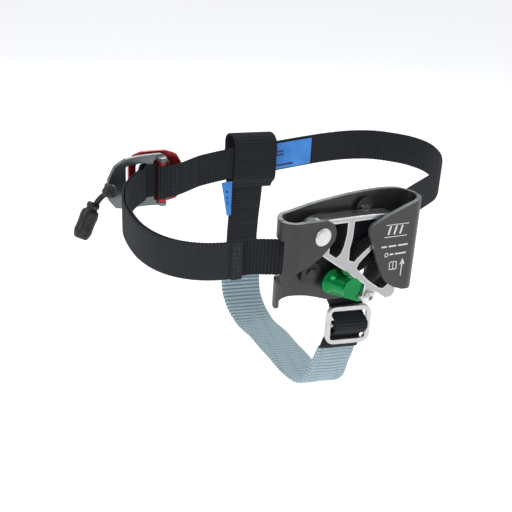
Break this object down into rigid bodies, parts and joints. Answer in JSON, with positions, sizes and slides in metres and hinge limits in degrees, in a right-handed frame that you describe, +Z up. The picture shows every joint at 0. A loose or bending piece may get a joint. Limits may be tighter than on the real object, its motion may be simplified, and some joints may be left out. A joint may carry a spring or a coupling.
{
  "type": "foot ascender",
  "caption": "Boot-mounted foot ascender for tree climbing: toothed rope cam in a bent alloy body, safety catch, ankle strap with two-frame buckle and sleeved stirrup strap.",
  "frame": {"origin": "centre of the flat rear face of the body, the face that lies against the boot", "axes": "+X along the plate towards the rope channel, +Y from the body towards the leg, +Z up along the rope"},
  "size_m": [0.2885, 0.1817, 0.17],
  "materials": {
    "body_alloy": "dark grey anodised sheet, satin, lighter cut edges",
    "cam_steel": "bright polished cast steel",
    "rivet_steel": "bright turned steel",
    "spring_steel": "bright spring wire",
    "bush_bronze": "plain bearing bronze",
    "catch_green": "green anodised, satin",
    "black_trim": "black moulded guide",
    "black_rivet": "black domed rivet",
    "buckle_grey": "grey anodised, satin",
    "buckle_red": "red anodised, satin",
    "ankle_webbing": "charcoal ribbed webbing",
    "stirrup_webbing": "black ribbed webbing",
    "sleeve_fabric": "light grey-blue coated tubular sleeve with cross ribs",
    "slide_steel": "polished steel bar",
    "label_blue": "blue sewn label with plain white bars",
    "cord_black": "black braided cord",
    "puller_plastic": "black moulded puller"
  },
  "bodies": {
    "frame": {"body_frame": "body_alloy", "cam_pivot_pin": "rivet_steel", "cam_bush": "bush_bronze", "pivot_washer_front": "rivet_steel", "pivot_washer_rear": "rivet_steel", "cam_spring": "spring_steel", "strap_guides": "black_trim", "strap_rivets": "black_rivet", "buckle_frame_red": "buckle_red", "buckle_pin": "rivet_steel", "ankle_strap_near": "ankle_webbing", "ankle_strap_fold": "ankle_webbing", "ankle_strap_tail": "ankle_webbing", "ankle_strap_hem": "ankle_webbing", "ankle_strap_far": "ankle_webbing", "stirrup_webbing": "stirrup_webbing", "stirrup_loop": "stirrup_webbing", "stirrup_sleeve": "sleeve_fabric", "stirrup_adjust_strap": "stirrup_webbing", "slide_buckle": "slide_steel", "label_tag": "label_blue", "label_flap": "label_blue"},
    "cam_body": {"cam": "cam_steel", "catch_screw": "rivet_steel", "catch_washer": "rivet_steel", "catch_clip": "spring_steel", "catch_spring": "spring_steel"},
    "catch_body": {"safety_catch": "catch_green"},
    "grey_body": {"buckle_frame_grey": "buckle_grey"},
    "tab_body": {"pull_cord": "cord_black", "cord_knot": "cord_black", "cord_puller": "puller_plastic"}
  },
  "joints": [
    {"name": "cam_pivot", "type": "hinge", "parent": "frame", "child": "cam_body", "pos_m": [-0.028, 0, 0.008], "axis": [0, 1, 0], "range_deg": [0, 33], "stiffness_Nm_per_rad": 0.1, "springref_deg": -57.3},
    {"name": "catch_pivot", "type": "hinge", "parent": "cam_body", "child": "catch_body", "pos_m": [0.0172, 0, -0.0475], "axis": [0, -1, 0], "range_deg": [0, 14], "stiffness_Nm_per_rad": 0.02, "springref_deg": -34.38},
    {"name": "buckle_release", "type": "hinge", "parent": "frame", "child": "grey_body", "pos_m": [-0.0568, 0.1373, -0.0085], "axis": [0, 0, -1], "range_deg": [0, 8], "stiffness_Nm_per_rad": 0.02, "springref_deg": -34.38, "deforming": ["ankle_strap_fold"]},
    {"name": "tab_swing", "type": "hinge", "parent": "grey_body", "child": "tab_body", "pos_m": [-0.095, 0.14146, -0.0075], "axis": [0, 1, 0], "range_deg": [-20, 40]}
  ]
}
